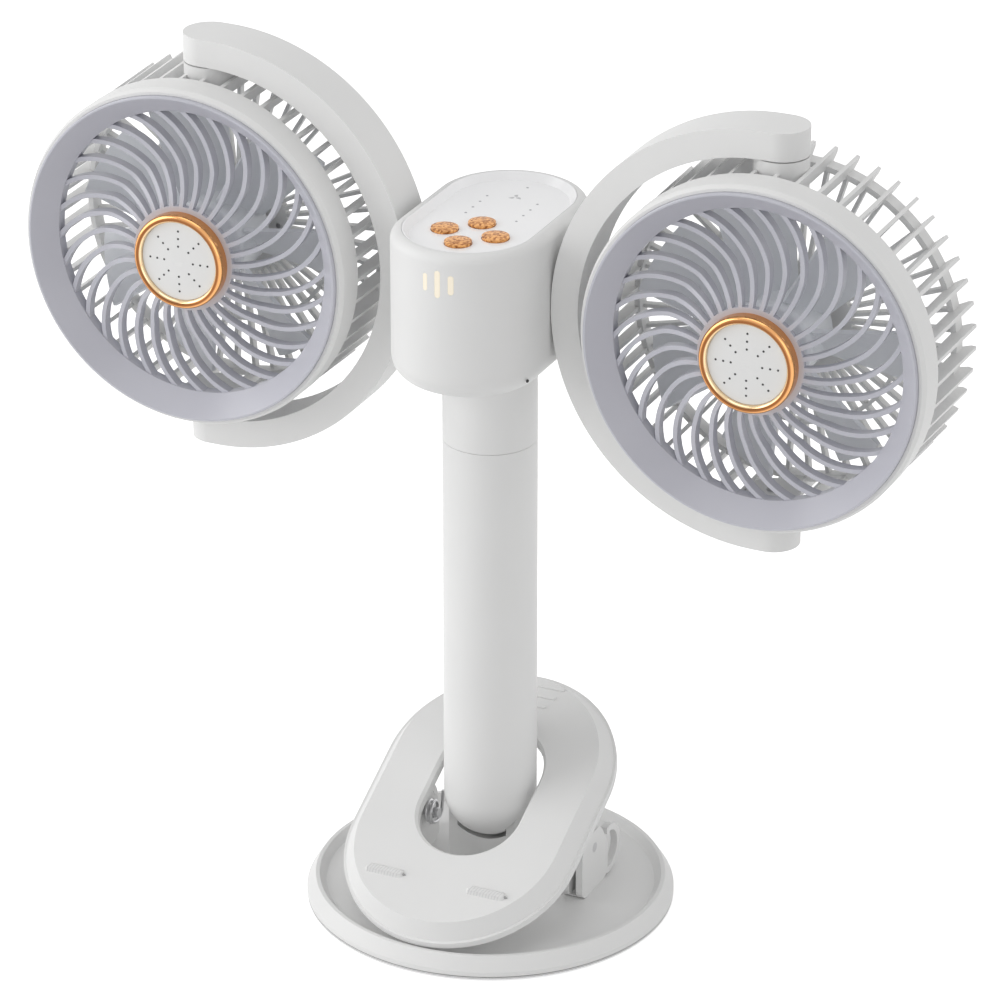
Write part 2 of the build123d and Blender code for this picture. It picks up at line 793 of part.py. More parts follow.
# Battery cradle on the box floor and the two cells that lie in it
cell_height = box_bottom + box_floor + cell_radius + 1
with BuildPart() as battery_cradle:
    with BuildSketch(Plane.XY.offset(box_bottom + box_floor)):
        Rectangle(2 * cradle_half_width, 2 * cradle_half_length)
    extrude(amount=cradle_height)
    with BuildSketch(Plane.XZ.offset(-cradle_half_length)):
        with Locations((-cell_spacing, cell_height), (cell_spacing, cell_height)):
            Circle(cell_radius + seat_gap)
    extrude(amount=2 * cradle_half_length, mode=Mode.SUBTRACT)
keep(battery_cradle.part, "battery_cradle")

with BuildPart() as battery_cells:
    with BuildSketch(Plane.XZ.offset(-cell_length / 2)):
        with Locations((-cell_spacing, cell_height), (cell_spacing, cell_height)):
            Circle(cell_radius)
    extrude(amount=cell_length)
keep(battery_cells.part, "battery_cells")

# Swivel neck: the box's foot, with a spigot that turns in the column's bush
with BuildPart() as swivel_neck:
    with BuildSketch(Plane.XY.offset(neck_seam_height)):
        Circle(neck_radius)
    extrude(amount=box_bottom - neck_seam_height)
    with BuildSketch(Plane.XY.offset(neck_seam_height - spigot_length + seat_gap)):
        Circle(spigot_radius)
    extrude(amount=spigot_length - seat_gap)
keep(swivel_neck.part, "swivel_neck")


def yoke(side):
    """One C-shaped yoke in the plane of the fan's axis, with its ends rounded about the pivots."""
    centre_x = side * (head_x - yoke_shift)
    outer = yoke_outer
    with BuildPart() as strap:
        with BuildSketch(Plane.XZ):
            with BuildLine():
                outer_arc = ThreePointArc(
                    (centre_x, head_z + outer), (centre_x - side * outer, head_z), (centre_x, head_z - outer)
                )
                inner_arc = ThreePointArc(
                    (centre_x, head_z + yoke_inner),
                    (centre_x - side * yoke_inner, head_z),
                    (centre_x, head_z - yoke_inner),
                )
                end_x = side * (head_x + yoke_half_width)
                Polyline(outer_arc @ 0, (end_x, head_z + outer), (end_x, head_z + yoke_inner), inner_arc @ 0)
                Polyline(outer_arc @ 1, (end_x, head_z - outer), (end_x, head_z - yoke_inner), inner_arc @ 1)
            make_face()
        extrude(amount=yoke_half_width, both=True)
        with BuildSketch(Plane.XY.offset(head_z - outer)):
            with Locations((side * head_x / 2, 0)):
                Rectangle(head_x, 2 * yoke_half_width)
            with Locations((side * head_x, 0)):
                Circle(yoke_half_width)
        extrude(amount=2 * outer, mode=Mode.INTERSECT)
        with BuildSketch(Plane.XY.offset(head_z - yoke_inner - pivot_pin_depth)):
            with Locations((side * head_x, 0)):
                Circle(pivot_pin_radius)
        extrude(amount=2 * (yoke_inner + pivot_pin_depth), mode=Mode.SUBTRACT)
        with BuildSketch(Plane.YZ.offset(yoke_root if side > 0 else -yoke_root - axle_reach)):
            with Locations((0, head_z)):
                Circle(axle_radius)
        extrude(amount=axle_reach, mode=Mode.SUBTRACT)
    return strap.part


def pitch_axle(side):
    """The axle between the box and a yoke, with a flange inside the box."""
    flange_outer = cavity_half_width - side_clearance
    inner_end = flange_outer - axle_flange
    outer_end = yoke_root + axle_reach - seat_gap
    with BuildPart() as axle:
        with BuildSketch(Plane.YZ.offset(inner_end)):
            with Locations((0, head_z)):
                Circle(axle_radius)
        extrude(amount=outer_end - inner_end)
        with BuildSketch(Plane.YZ.offset(inner_end)):
            with Locations((0, head_z)):
                Circle(axle_flange_radius)
        extrude(amount=axle_flange)
    return axle.part if side > 0 else axle.part.mirror(Plane.YZ)


def pivot_pins(side):
    """The two upright pins on which a fan head turns in its yoke."""
    pins = []
    for end in (-1, 1):
        low = pivot_boss_root + pivot_pin_start
        high = yoke_inner + pivot_pin_depth - seat_gap
        bottom = head_z + (low if end > 0 else -high)
        with BuildPart() as pin:
            with BuildSketch(Plane.XY.offset(bottom)):
                with Locations((side * head_x, 0)):
                    Circle(pivot_pin_radius)
            extrude(amount=high - low)
        pins.append(pin.part)
    return Compound(children=pins)


for side_name, side in sides.items():
    keep(yoke(side), f"yoke_{side_name}")
    keep(pitch_axle(side), f"pitch_axle_{side_name}")
    keep(pivot_pins(side), f"pivot_pins_{side_name}")

# Fan housing, in the head's own frame: Z forward, Y up
with BuildPart() as fin:
    with BuildSketch(Plane.XZ):
        with BuildLine():
            Polyline(
                (fin_band_radius, band_back + 2 * band_wall),
                (fin_band_radius, band_back),
                (fin_tip_radius, fin_tip),
                (fin_tip_radius - fin_tip_flat, fin_tip),
                (fin_inner, rear_back),
                (rear_hub_radius - overlap, rear_back),
                (rear_hub_radius - overlap, rear_front),
                (fin_inner, rear_front),
                (fin_inner, band_back),
                (housing_radius - band_wall / 2, band_back + 2 * band_wall),
                close=True,
            )
        make_face()
    extrude(amount=fin_thickness / 2, both=True)

with BuildPart() as housing:
    with PolarLocations(0, fin_count, start_angle=fin_first_angle):
        add(fin.part)
    with BuildSketch(Plane.XZ):
        with BuildLine():
            Polyline(
                (housing_radius, band_back),
                (housing_radius, band_front - band_round),
                (housing_radius - band_round / 2, band_front),
                (housing_radius - band_wall, band_front),
                (housing_radius - band_wall, band_back),
                close=True,
            )
        make_face()
        with Locations((rear_ring_inner, rear_back)):
            Rectangle(rear_ring_width, rear_ring_front - rear_back, align=Align.MIN)
        with Locations((rear_mid_ring_radius, rear_back)):
            Rectangle(fin_thickness, rear_front - rear_back, align=Align.MIN)
    revolve(axis=Axis.Z)
    with BuildSketch(Plane.XY.offset(rear_back)):
        Circle(rear_hub_radius)
    extrude(amount=rear_front - rear_back)
    for end in (-1, 1):
        boss_start = Plane.XZ.offset(-pivot_boss_top) if end > 0 else Plane.XZ.offset(pivot_boss_root)
        with BuildSketch(boss_start):
            Circle(pivot_boss_radius)
        extrude(amount=pivot_boss_top - pivot_boss_root)
        with BuildSketch(boss_start):
            Circle(pivot_pin_radius + shaft_clearance)
        extrude(amount=pivot_boss_top - pivot_boss_root, mode=Mode.SUBTRACT)
    with BuildSketch(Plane.XY.offset(rear_back)):
        with PolarLocations(rear_screw_circle, 3):
            Circle(rear_screw_radius / 2)
    extrude(amount=rear_front - rear_back, mode=Mode.SUBTRACT)

# Front grille: bezel, hub plate and swirl ribs


def rib_point(radius, sweep):
    """A point of the rib that ends at the grille's first angle."""
    angle = radians(rib_first_angle - sweep)
    return (radius * cos(angle), radius * sin(angle))


with BuildPart() as ribs:
    with BuildSketch(Plane.XY.offset(rib_rim_front - rib_depth)) as rib_plan:
        with BuildLine(mode=Mode.PRIVATE) as rib_line:
            ThreePointArc(
                rib_point(bezel_opening + skirt_wall / 2, rib_sweep_start),
                rib_point(rib_middle_radius, rib_sweep_middle),
                rib_point(plate_radius - overlap, rib_sweep_end),
            )
        with BuildSketch(mode=Mode.PRIVATE) as rib_shape:
            trace(rib_line.line, line_width=rib_width)
        with PolarLocations(0, rib_count):
            add(rib_shape.sketch)
    extrude(amount=rib_plate_front - rib_rim_front + rib_depth)
    with BuildSketch(Plane.XZ):
        with BuildLine():
            Polyline(
                (plate_radius - 2 * overlap, rib_plate_front - plate_thickness),
                (plate_radius - 2 * overlap, rib_plate_front),
                (plate_radius, rib_plate_front),
                (rib_knee_radius, rib_knee_front),
                (bezel_opening + skirt_wall, rib_rim_front),
                (bezel_opening + skirt_wall, rib_rim_front - rib_depth),
                (rib_knee_radius, rib_knee_front - rib_depth),
                close=True,
            )
        make_face()
    revolve(axis=Axis.Z, mode=Mode.INTERSECT)

with BuildPart() as grille:
    with BuildSketch(Plane.XZ):
        with BuildLine():
            Polyline(
                (bezel_opening, bezel_inner_front),
                (bezel_outer - bezel_lip, bezel_front),
                (bezel_outer - bezel_edge, bezel_front),
                (bezel_outer, bezel_front - bezel_edge),
                (bezel_outer, skirt_back),
                (bezel_outer - skirt_wall, skirt_back),
                (bezel_opening + skirt_wall, rib_rim_front - rib_depth),
                (bezel_opening, rib_rim_front - rib_depth),
                close=True,
            )
        make_face()
    revolve(axis=Axis.Z)
    with BuildSketch(Plane.XY.offset(rib_plate_front - plate_thickness)):
        Circle(plate_radius)
    extrude(amount=plate_thickness)
    add(ribs.part)

# Copper accent ring and white hub cap in front of the hub plate
with BuildPart() as accent_ring:
    with BuildSketch(Plane.XZ):
        with BuildLine():
            crown = ThreePointArc(
                (accent_outer, rib_plate_front + accent_rise),
                ((accent_outer + accent_inner) / 2, rib_plate_front + accent_rise + accent_crown),
                (accent_inner, rib_plate_front + accent_rise),
            )
            Polyline(
                crown @ 1,
                (accent_inner, rib_plate_front),
                (accent_outer, rib_plate_front),
                crown @ 0,
            )
        make_face()
    revolve(axis=Axis.Z)

with BuildPart() as hub_cap:
    with BuildSketch(Plane.XZ):
        with BuildLine():
            cap_edge = accent_inner - seat_gap
            crown = ThreePointArc(
                (cap_edge, rib_plate_front + cap_rise),
                (cap_edge / 2, rib_plate_front + cap_rise + crown_middle(cap_edge, cap_crown)),
                (0, rib_plate_front + cap_rise + cap_crown),
            )
            Polyline(crown @ 1, (0, rib_plate_front), (cap_edge, rib_plate_front), crown @ 0)
        make_face()
    revolve(axis=Axis.Z)

# Motor on the rear hub, and its shaft
with BuildPart() as motor:
    with BuildSketch(Plane.XY.offset(rear_front)):
        Circle(motor_radius)
    extrude(amount=motor_front - rear_front)
    chamfer(motor.edges().group_by(Axis.Z)[-1], motor_edge)
    with BuildSketch(Plane.XY.offset(shaft_back - seat_gap)):
        Circle(shaft_radius + shaft_clearance)
    extrude(amount=motor_front - shaft_back + seat_gap, mode=Mode.SUBTRACT)

with BuildPart() as motor_shaft:
    with BuildSketch(Plane.XY.offset(shaft_back)):
        Circle(shaft_radius)
    extrude(amount=hub_front - hub_wall - shaft_back)

# Impeller: a cup over the motor, with twisted blades


def blade_plane(radius):
    """The plane of one blade section, square to the radius."""
    return Plane(origin=(radius, 0, (hub_front + hub_back) / 2), x_dir=(0, 1, 0), z_dir=(1, 0, 0))


with BuildPart() as blade:
    with BuildSketch(blade_plane(hub_radius - hub_wall / 2)):
        Rectangle(blade_root_chord, blade_thickness, rotation=blade_root_pitch)
    with BuildSketch(blade_plane(blade_middle_radius)):
        Rectangle((blade_root_chord + blade_tip_chord) / 2, blade_thickness,
                  rotation=(blade_root_pitch + blade_tip_pitch) / 2)
    with BuildSketch(blade_plane(blade_tip_radius + blade_thickness)):
        Rectangle(blade_tip_chord, blade_thickness, rotation=blade_tip_pitch)
    loft(ruled=True)
    with BuildSketch(Plane.XY.offset(hub_back)):
        Circle(blade_tip_radius)
    extrude(amount=hub_front - hub_back, mode=Mode.INTERSECT)

with BuildPart() as impeller:
    with BuildSketch(Plane.XY.offset(hub_back)):
        Circle(hub_radius)
    extrude(amount=hub_front - hub_back)
    with PolarLocations(0, blade_count):
        add(blade.part)
    fillet(impeller.edges().group_by(Axis.Z)[-1], hub_round)
    with BuildSketch(Plane.XY.offset(hub_back)):
        Circle(hub_radius - hub_wall)
        Circle(hub_boss_radius, mode=Mode.SUBTRACT)
    extrude(amount=hub_front - hub_wall - hub_back, mode=Mode.SUBTRACT)
    with BuildSketch(Plane.XY.offset(hub_back)):
        Circle(hub_boss_radius)
    extrude(amount=motor_front + hub_cup_gap - hub_back, mode=Mode.SUBTRACT)
    with BuildSketch(Plane.XY.offset(hub_back)):
        Circle(shaft_radius)
    extrude(amount=hub_front - hub_wall - hub_back, mode=Mode.SUBTRACT)

# Three screws that hold the motor to the rear hub
with BuildPart() as rear_screws:
    with PolarLocations(rear_screw_circle, 3):
        with Locations((0, 0, rear_back)):
            Cylinder(rear_screw_radius, screw_head_height, align=(Align.CENTER, Align.CENTER, Align.MAX))
            Cylinder(rear_screw_radius / 2 - seat_gap, rear_front - rear_back,
                     align=(Align.CENTER, Align.CENTER, Align.MIN))

head_pieces = {
    "fan_housing": housing.part,
    "front_grille": grille.part,
    "accent_ring": accent_ring.part,
    "hub_cap": hub_cap.part,
    "motor": motor.part,
    "motor_shaft": motor_shaft.part,
    "impeller": impeller.part,
    "rear_screws": rear_screws.part,
}
for side_name, side in sides.items():
    for piece_name, piece in head_pieces.items():
        keep(piece.moved(head_seat(side)), f"{piece_name}_{side_name}")
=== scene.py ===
"""Dual-head desk fan: finishes, softened mouldings, printed marks, painted shade in screw recesses,
the pinhole and bar notches, painted reflection bands on the copper rings, light and camera.
"""

import json
import logging
from dataclasses import dataclass, field
from enum import Enum
from math import cos, pi, radians, sin

import bmesh
import bpy
from mathutils import Matrix, Vector

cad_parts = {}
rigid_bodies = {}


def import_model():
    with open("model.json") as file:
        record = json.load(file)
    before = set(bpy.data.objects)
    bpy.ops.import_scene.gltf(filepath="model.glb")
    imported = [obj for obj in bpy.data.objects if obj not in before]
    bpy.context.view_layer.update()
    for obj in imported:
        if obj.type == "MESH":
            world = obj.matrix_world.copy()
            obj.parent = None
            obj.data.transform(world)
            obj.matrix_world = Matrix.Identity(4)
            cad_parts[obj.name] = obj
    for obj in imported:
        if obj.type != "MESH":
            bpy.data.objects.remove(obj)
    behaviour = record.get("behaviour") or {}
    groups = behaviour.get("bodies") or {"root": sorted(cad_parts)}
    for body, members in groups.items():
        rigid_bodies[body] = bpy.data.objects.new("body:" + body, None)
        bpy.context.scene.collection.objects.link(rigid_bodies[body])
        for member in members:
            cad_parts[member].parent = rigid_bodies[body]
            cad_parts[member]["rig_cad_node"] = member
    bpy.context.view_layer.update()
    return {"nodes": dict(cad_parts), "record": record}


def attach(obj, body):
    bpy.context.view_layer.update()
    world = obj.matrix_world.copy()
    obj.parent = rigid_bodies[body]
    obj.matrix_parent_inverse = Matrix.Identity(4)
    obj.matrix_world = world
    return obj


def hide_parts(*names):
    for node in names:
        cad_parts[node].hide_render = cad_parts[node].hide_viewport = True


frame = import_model()
LOG = logging.getLogger("desk_fan")
MM = 0.001

Colour = tuple[float, float, float]
Place = tuple[float, float, float]
Span = tuple[float, float]

HEAD_CENTRE: Place = (128.6 * MM, 0.0, 286.0 * MM)
# Radial span from the head's centre over which the copper rings get painted reflection bands. The
# two pale colours below are a painted highlight at the rings' inner edge.
RING_BAND: Span = (17.4 * MM, 21.0 * MM)
PAINTED_HIGHLIGHT_EDGE: Colour = (0.93, 0.74, 0.50)
PAINTED_HIGHLIGHT_FADE: Colour = (0.90, 0.66, 0.38)

MOTTLE_SCALE, MOTTLE_DETAIL, GRAIN_DETAIL = 26.0, 3.0, 2.0
BUMP_STRENGTH, COAT_ROUGHNESS = 0.35, 0.12
BRUSH_STRETCH: Place = (1.0, 12.0, 1.0)
FACET_EDGES: Span = (0.2, 0.7)

MERGE_DISTANCE, FLAT_ANGLE, SMOOTH_ANGLE = 2e-6, radians(0.4), radians(34.0)


class Side(Enum):
    """The two fan heads, as seen from the front."""

    LEFT = "left"
    RIGHT = "right"


class Relief(Enum):
    """The kinds of fine surface relief a finish can have."""

    GRAIN = "grain"
    FACETS = "facets"
    BRUSHED = "brushed"
    # Not a relief: painted reflection, pale and dark rings of colour set by radius in place of what
    # the polished copper reflects.
    PAINTED_REFLECTION = "turned"


def add_socket(tree: bpy.types.NodeTree, name: str, kind: str, output: bool = False) -> None:
    """Add one named socket to a node group.

    Args:
        tree: The group that gets the socket.
        name: The socket's name.
        kind: Blender's socket type.
        output: True for an output, False for an input.
    """
    tree.interface.new_socket(name=name, in_out="OUTPUT" if output else "INPUT", socket_type=kind)


def into_scene(name: str, data: bpy.types.ID) -> bpy.types.Object:
    """Make an object from its data and put it in the scene.

    Args:
        name: The object's name.
        data: Its mesh, light or camera.

    Returns:
        The object.
    """
    made = bpy.data.objects.new(name, data)
    bpy.context.scene.collection.objects.link(made)
    return made


def moulded_group() -> bpy.types.NodeTree:
    """Build, once, the shared group for mottled colour, uneven gloss and fine grain.

    Returns:
        The shader node group.
    """
    found = bpy.data.node_groups.get("moulded_surface")
    if found:
        return found
    tree = bpy.data.node_groups.new("moulded_surface", "ShaderNodeTree")
    for name, kind in (("Vector", "NodeSocketVector"), ("Colour", "NodeSocketColor"),
                       ("Shade", "NodeSocketColor"), ("Gloss", "NodeSocketFloat"),
                       ("Gloss Spread", "NodeSocketFloat"), ("Grain Scale", "NodeSocketFloat")):
        add_socket(tree, name, kind)
    for name, kind in (("Colour", "NodeSocketColor"), ("Roughness", "NodeSocketFloat"),
                       ("Height", "NodeSocketFloat")):
        add_socket(tree, name, kind, output=True)
    nodes, links = tree.nodes, tree.links
    source, sink = nodes.new("NodeGroupInput"), nodes.new("NodeGroupOutput")
    broad, fine = nodes.new("ShaderNodeTexNoise"), nodes.new("ShaderNodeTexNoise")
    broad.inputs["Scale"].default_value = MOTTLE_SCALE
    broad.inputs["Detail"].default_value = MOTTLE_DETAIL
    fine.inputs["Detail"].default_value = GRAIN_DETAIL
    for noise in (broad, fine):
        links.new(source.outputs["Vector"], noise.inputs["Vector"])
    links.new(source.outputs["Grain Scale"], fine.inputs["Scale"])
    mix = nodes.new("ShaderNodeMix")
    mix.data_type = "RGBA"
    links.new(broad.outputs["Fac"], mix.inputs["Factor"])
    links.new(source.outputs["Shade"], mix.inputs["A"])
    links.new(source.outputs["Colour"], mix.inputs["B"])
    links.new(mix.outputs["Result"], sink.inputs["Colour"])
    spread = nodes.new("ShaderNodeMath")
    spread.operation = "MULTIPLY_ADD"
    links.new(broad.outputs["Fac"], spread.inputs[0])
    links.new(source.outputs["Gloss Spread"], spread.inputs[1])
    links.new(source.outputs["Gloss"], spread.inputs[2])
    links.new(spread.outputs["Value"], sink.inputs["Roughness"])
    links.new(fine.outputs["Fac"], sink.inputs["Height"])
    return tree


@dataclass(frozen=True)
class Finish:
    """One finish of the fan: colour, gloss and fine relief."""

    name: str
    colour: Colour
    shade: Colour
    roughness: float = 0.38
    spread: float = 0.06
    metallic: float = 0.0
    coat: float = 0.0
    relief: Relief = Relief.GRAIN
    relief_scale: float = 2600.0
    relief_depth: float = 0.00002
    glow: float = 0.0
    mirror: float = 0.5

    def material(self) -> bpy.types.Material:
        """Build the finish as a node material, or return the one already built.

        Returns:
            The material.
        """
        found = bpy.data.materials.get(self.name)
        if found:
            return found
        made = bpy.data.materials.new(self.name)
        made.use_nodes = True
        nodes, links = made.node_tree.nodes, made.node_tree.links
        shader = nodes["Principled BSDF"]
        place = nodes.new("ShaderNodeTexCoord")
        surface = nodes.new("ShaderNodeGroup")
        surface.node_tree = moulded_group()
        surface.inputs["Colour"].default_value = (*self.colour, 1.0)
        surface.inputs["Shade"].default_value = (*self.shade, 1.0)
        surface.inputs["Gloss"].default_value = self.roughness - self.spread / 2
        surface.inputs["Gloss Spread"].default_value = self.spread
        surface.inputs["Grain Scale"].default_value = self.relief_scale
        links.new(place.outputs["Object"], surface.inputs["Vector"])
        links.new(surface.outputs["Roughness"], shader.inputs["Roughness"])
        shader.inputs["Metallic"].default_value = self.metallic
        shader.inputs["Coat Weight"].default_value = self.coat
        shader.inputs["Coat Roughness"].default_value = COAT_ROUGHNESS
        shader.inputs["Specular IOR Level"].default_value = self.mirror
        height, colour = surface.outputs["Height"], surface.outputs["Colour"]
        if self.relief is Relief.FACETS:
            cells = nodes.new("ShaderNodeTexVoronoi")
            cells.inputs["Scale"].default_value = self.relief_scale
            links.new(place.outputs["Object"], cells.inputs["Vector"])
            patches = nodes.new("ShaderNodeValToRGB")
            patches.color_ramp.elements[0].color = (*self.shade, 1.0)
            patches.color_ramp.elements[1].color = (*self.colour, 1.0)
            for element, edge in zip(patches.color_ramp.elements, FACET_EDGES):
                element.position = edge
            links.new(cells.outputs["Color"], patches.inputs["Fac"])
            height, colour = cells.outputs["Distance"], patches.outputs["Color"]
        elif self.relief is Relief.BRUSHED:
            stretch = nodes.new("ShaderNodeMapping")
            stretch.inputs["Scale"].default_value = BRUSH_STRETCH
            lines = nodes.new("ShaderNodeTexNoise")
            lines.inputs["Scale"].default_value = self.relief_scale
            links.new(place.outputs["Object"], stretch.inputs["Vector"])
            links.new(stretch.outputs["Vector"], lines.inputs["Vector"])
            height = lines.outputs["Fac"]
        # Painted reflection: bright and dark bands of colour by radius stand in for the copper's
        # reflections.
        elif self.relief is Relief.PAINTED_REFLECTION:
            colour = self.painted_reflection_bands(nodes, links, place.outputs["Object"])
        links.new(colour, shader.inputs["Base Color"])
        if self.glow:
            links.new(colour, shader.inputs["Emission Color"])
            shader.inputs["Emission Strength"].default_value = self.glow
        bump = nodes.new("ShaderNodeBump")
        bump.inputs["Strength"].default_value = BUMP_STRENGTH
        bump.inputs["Distance"].default_value = self.relief_depth
        links.new(height, bump.inputs["Height"])
        links.new(bump.outputs["Normal"], shader.inputs["Normal"])
        return made

    def painted_reflection_bands(self, nodes: bpy.types.Nodes, links: bpy.types.NodeLinks,
                     place: bpy.types.NodeSocket) -> bpy.types.NodeSocket:
        """Paint reflections into a ring's colour by distance from the head's centre: a painted
        highlight at the pale inner edge, then painted dark reflection bands across the copper body.

        Args:
            nodes: The nodes of the tree.
            links: The links of the tree.
            place: The socket with Object coordinates.

        Returns:
            The socket with the colour.
        """
        parts, mirror, centre = (nodes.new("ShaderNodeSeparateXYZ"), nodes.new("ShaderNodeMath"),
                                 nodes.new("ShaderNodeCombineXYZ"))
        mirror.operation = "ABSOLUTE"
        links.new(place, parts.inputs[0])
        links.new(parts.outputs["X"], mirror.inputs[0])
        links.new(mirror.outputs[0], centre.inputs["X"])
        links.new(parts.outputs["Z"], centre.inputs["Z"])
        reach, length = nodes.new("ShaderNodeVectorMath"), nodes.new("ShaderNodeVectorMath")
        reach.operation, length.operation = "SUBTRACT", "LENGTH"
        reach.inputs[1].default_value = HEAD_CENTRE
        links.new(centre.outputs[0], reach.inputs[0])
        links.new(reach.outputs[0], length.inputs[0])
        band, bands = nodes.new("ShaderNodeMapRange"), nodes.new("ShaderNodeValToRGB")
        band.inputs["From Min"].default_value, band.inputs["From Max"].default_value = RING_BAND
        links.new(length.outputs["Value"], band.inputs["Value"])
        links.new(band.outputs["Result"], bands.inputs["Fac"])
        ramp = bands.color_ramp
        ramp.elements[0].position, ramp.elements[0].color = 0.0, (*PAINTED_HIGHLIGHT_EDGE, 1.0)
        ramp.elements[1].position, ramp.elements[1].color = 1.0, (*self.colour, 1.0)
        # Painted dark reflection bands, in the shade colour, between the painted highlight edge and
        # the copper body.
        for spot, tone in ((0.16, PAINTED_HIGHLIGHT_FADE), (0.30, self.shade), (0.52, self.shade),
                           (0.72, self.colour)):
            ramp.elements.new(spot).color = (*tone, 1.0)
        return bands.outputs["Color"]


SHELL = Finish("shell_white", (0.80, 0.80, 0.795), (0.76, 0.76, 0.755), 0.48, 0.08, mirror=0.3)
PANEL = Finish("panel_white", (0.84, 0.84, 0.85), (0.78, 0.78, 0.79), 0.30, 0.06, coat=0.15)
BEZEL = Finish("grille_pearl_grey", (0.53, 0.532, 0.585), (0.48, 0.482, 0.535), 0.34, 0.08,
               coat=0.1)
BLADE = Finish("blade_white", (0.66, 0.67, 0.66), (0.60, 0.61, 0.60), 0.28, 0.05, coat=0.2)
# The copper rings' colour holds painted reflections: a painted highlight at the inner edge and
# painted dark bands in the shade colour.
COPPER = Finish("rose_copper", (0.80, 0.40, 0.16), (0.26, 0.10, 0.035), 0.13, 0.06, metallic=1.0,
                relief=Relief.PAINTED_REFLECTION, relief_scale=700.0)
BUTTON = Finish("patterned_copper", (0.95, 0.48, 0.17), (0.34, 0.11, 0.02), 0.26, 0.1, metallic=0.6,
                relief=Relief.FACETS, relief_scale=1100.0, relief_depth=0.0002)
STEEL = Finish("plain_steel", (0.70, 0.70, 0.71), (0.60, 0.60, 0.61), 0.34, 0.12, metallic=1.0,
               relief=Relief.BRUSHED, relief_scale=900.0)
RUBBER = Finish("soft_rubber", (0.55, 0.55, 0.555), (0.49, 0.49, 0.495), 0.75, 0.1,
                relief_scale=1800.0, relief_depth=0.00006)
DARK = Finish("under_plastic", (0.68, 0.68, 0.68), (0.62, 0.62, 0.62), 0.5, 0.1,
              relief_depth=0.00004)
BOARD = Finish("board_green", (0.03, 0.14, 0.06), (0.02, 0.10, 0.05), 0.3, 0.1, coat=0.4)
CELL = Finish("cell_wrap", (0.06, 0.16, 0.36), (0.05, 0.13, 0.30), 0.3, 0.05, coat=0.3)
LAMP = Finish("indicator_lens", (0.93, 0.85, 0.70), (0.88, 0.79, 0.63), 0.25, 0.05, coat=0.4,
              glow=0.12)
# Black used for the printed cap dots and also as painted shade: the dark crosses in screw recesses
# and the dark disc in the pinhole.
INK_AND_RECESS_SHADE = Finish("print_and_recess_shade_black", (0.035, 0.035, 0.035), (0.025, 0.025, 0.025), 0.5, 0.1)
PALE_INK = Finish("print_grey", (0.40, 0.40, 0.42), (0.35, 0.35, 0.37), 0.5, 0.1)
FAINT_INK = Finish("print_faint", (0.56, 0.56, 0.57), (0.50, 0.50, 0.51), 0.5, 0.1)
HATCH = Finish("hatch_grey", (0.73, 0.73, 0.73), (0.68, 0.68, 0.68), 0.5, 0.1, mirror=0.3)
# Painted shade: the grey wedge at each clip bar's end stands in for the shade in its end notch.
NOTCH_SHADE = Finish("notch_shade_grey", (0.40, 0.40, 0.40), (0.36, 0.36, 0.36), 0.5, 0.1)

SLOT_FINISHES: dict[str, Finish] = {
    "white_shell": SHELL, "panel_white": PANEL, "grille_grey": BEZEL, "copper": COPPER,
    "dark_plastic": DARK, "steel": STEEL, "rubber": RUBBER, "circuit": BOARD,
    "cell_wrap": CELL, "indicator": LAMP, "blade_white": BLADE,
}


def give_finish(piece: bpy.types.Object, finish: Finish) -> None:
    """Put one finish on every slot of a piece, leaving its mesh as it is.

    Args:
        piece: The piece to dress.
        finish: Its finish.
    """
    if not piece.data.materials:
        piece.data.materials.append(finish.material())
    for slot in piece.material_slots:
        slot.link = "OBJECT" if piece.get("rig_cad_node") else "DATA"
        slot.material = finish.material()


def settle(name: str, mesh: bpy.types.Mesh, body: str,
           finish: Finish) -> bpy.types.Object:
    """Make a finished piece from a mesh that is already in its place.

    Args:
        name: The piece's name.
        mesh: Its mesh, in the fan's own frame.
        body: The body it moves with.
        finish: Its finish.

    Returns:
        The new piece.
    """
    piece = into_scene(name, mesh)
    give_finish(piece, finish)
    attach(piece, body)
    LOG.info("%s: %d faces on %s", name, len(mesh.polygons), body)
    return piece


@dataclass
class SoftMoulding:
    """A moulded piece whose sharp edges get the small round of a real moulding."""

    node: str
    body: str
    slot: str
    finish: Finish
    edge: float
    segments: int = 3
    sharp_from: float = 28.0

    def build(self) -> bpy.types.Object:
        """Copy the moulding, round its edges and let the copy stand for it.

        Returns:
            The softened piece.
        """
        mesh = frame["nodes"][self.node].data.copy()
        mesh.name = f"soft_{self.node}"
        mesh.materials.clear()
        shape = bmesh.new()
        shape.from_mesh(mesh)
        bmesh.ops.remove_doubles(shape, verts=shape.verts, dist=MERGE_DISTANCE)
        bmesh.ops.dissolve_limit(shape, angle_limit=FLAT_ANGLE, verts=shape.verts,
                                 edges=shape.edges)
        shape.to_mesh(mesh)
        shape.free()
        if mesh.has_custom_normals:
            mesh.attributes.remove(mesh.attributes["custom_normal"])
        blank = into_scene("blank", mesh)
        bevel = blank.modifiers.new("edge", "BEVEL")
        bevel.width = self.edge
        bevel.segments = self.segments
        bevel.limit_method = "ANGLE"
        bevel.angle_limit = radians(self.sharp_from)
        bevel.miter_outer = "MITER_ARC"
        done = plain_copy(blank)
        done.shade_smooth()
        done.set_sharp_from_angle(angle=SMOOTH_ANGLE)
        piece = settle(f"moulded_{self.node}", done, self.body, self.finish)
        piece.modifiers.new("even", "WEIGHTED_NORMAL").keep_sharp = True
        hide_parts(self.node)
        return piece


